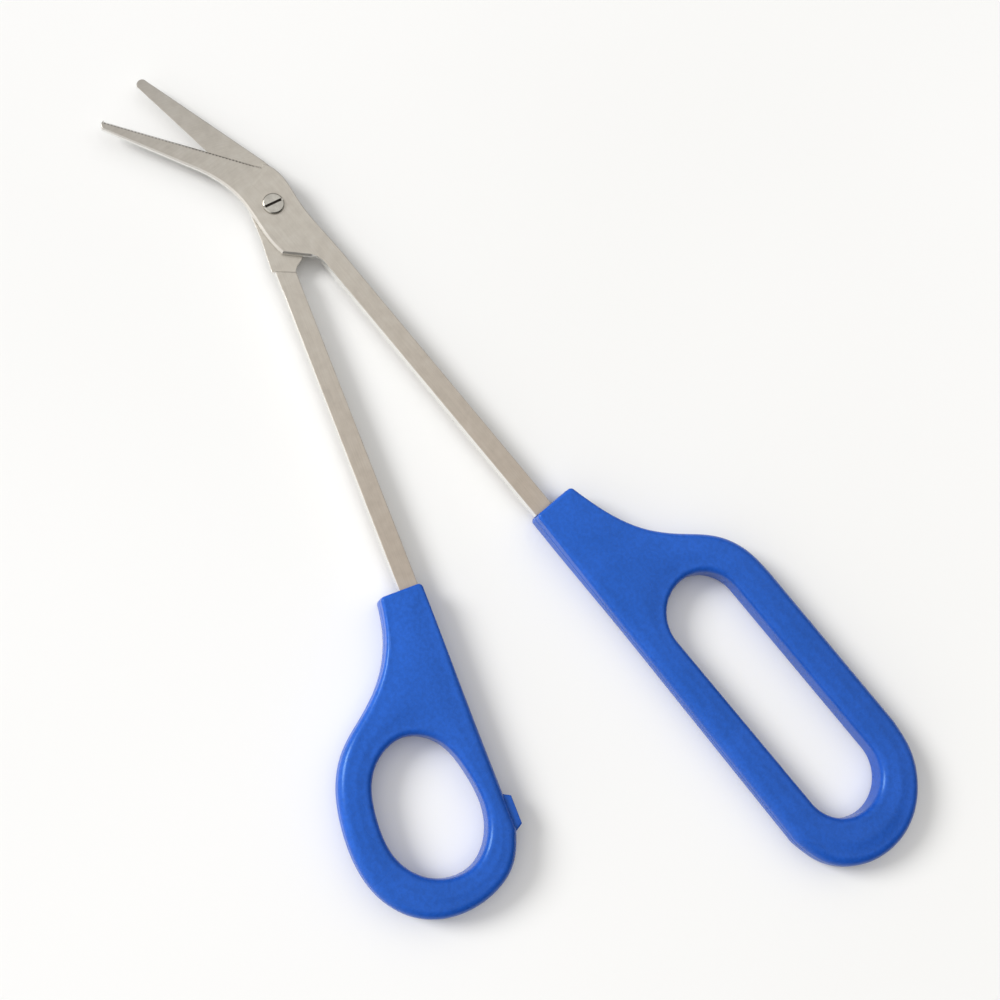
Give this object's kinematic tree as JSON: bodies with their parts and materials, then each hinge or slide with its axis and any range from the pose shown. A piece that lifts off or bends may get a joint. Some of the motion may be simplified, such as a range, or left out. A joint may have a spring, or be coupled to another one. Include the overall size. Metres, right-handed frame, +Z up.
{
  "type": "long-reach toenail scissors",
  "caption": "Long-reach toenail scissors: slim steel arms crossed at a slotted pivot screw, short blades bent to one side, and plastic finger and thumb loop handles.",
  "frame": {"origin": "centre of the bounding box's underside, on the surface the scissors lie on", "axes": "+X from the blades toward the handles along the finger arm's shank; +Z up, out of the face with the screw head; +Y away from the thumb arm"},
  "size_m": [0.3214, 0.1528, 0.01],
  "materials": {
    "satin_steel": "satin stainless steel with a fine grain along the shank",
    "screw_steel": "turned stainless steel",
    "blue_plastic": "fine matte moulded plastic, royal blue"
  },
  "bodies": {
    "finger_side": {"finger_arm_blade": "satin_steel", "finger_loop_handle": "blue_plastic"},
    "thumb_side": {"thumb_arm_blade": "satin_steel", "pivot_screw": "screw_steel", "thumb_loop_handle": "blue_plastic"}
  },
  "joints": [
    {"name": "pivot", "type": "hinge", "parent": "finger_side", "child": "thumb_side", "pos_m": [-0.10657, 0.02976, 0.005], "axis": [0, 0, 1], "range_deg": [-26, 17.7]}
  ]
}
